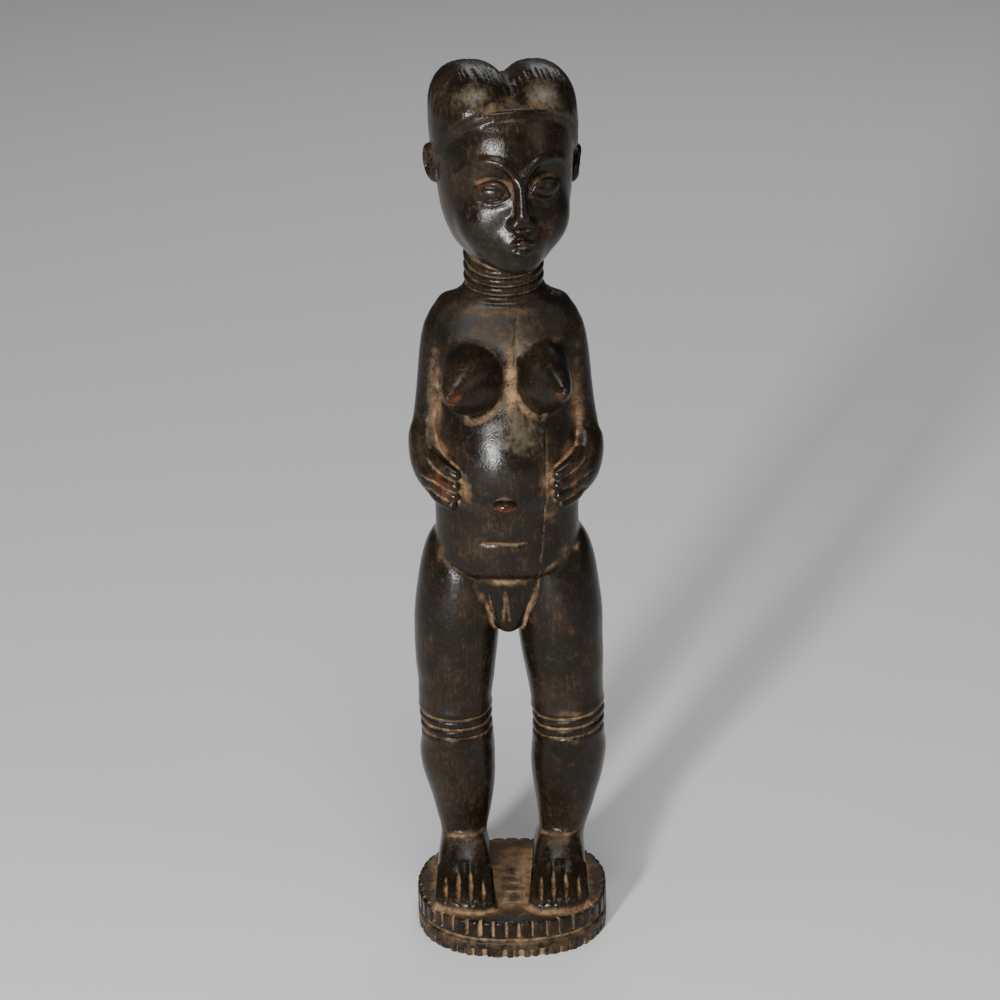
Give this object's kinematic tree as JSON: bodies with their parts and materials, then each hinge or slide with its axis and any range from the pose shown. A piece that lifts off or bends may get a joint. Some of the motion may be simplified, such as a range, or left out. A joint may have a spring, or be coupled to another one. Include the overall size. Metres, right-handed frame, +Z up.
{
  "type": "standing carved figure",
  "caption": "Carved wooden standing woman with hands on her belly, lobed hair, ringed neck and banded knees, on a round notched plinth of the same log.",
  "frame": {"origin": "middle of the plinth's underside", "axes": "+Z up along the figure's height; the figure looks along -Y and its own left side is towards +X"},
  "size_m": [0.0944, 0.0944, 0.4385],
  "materials": {
    "wood": "polished dark patina with tan dust in the hollows and red-brown wear"
  },
  "bodies": {
    "root": {"carved_figure": "wood"}
  },
  "joints": []
}
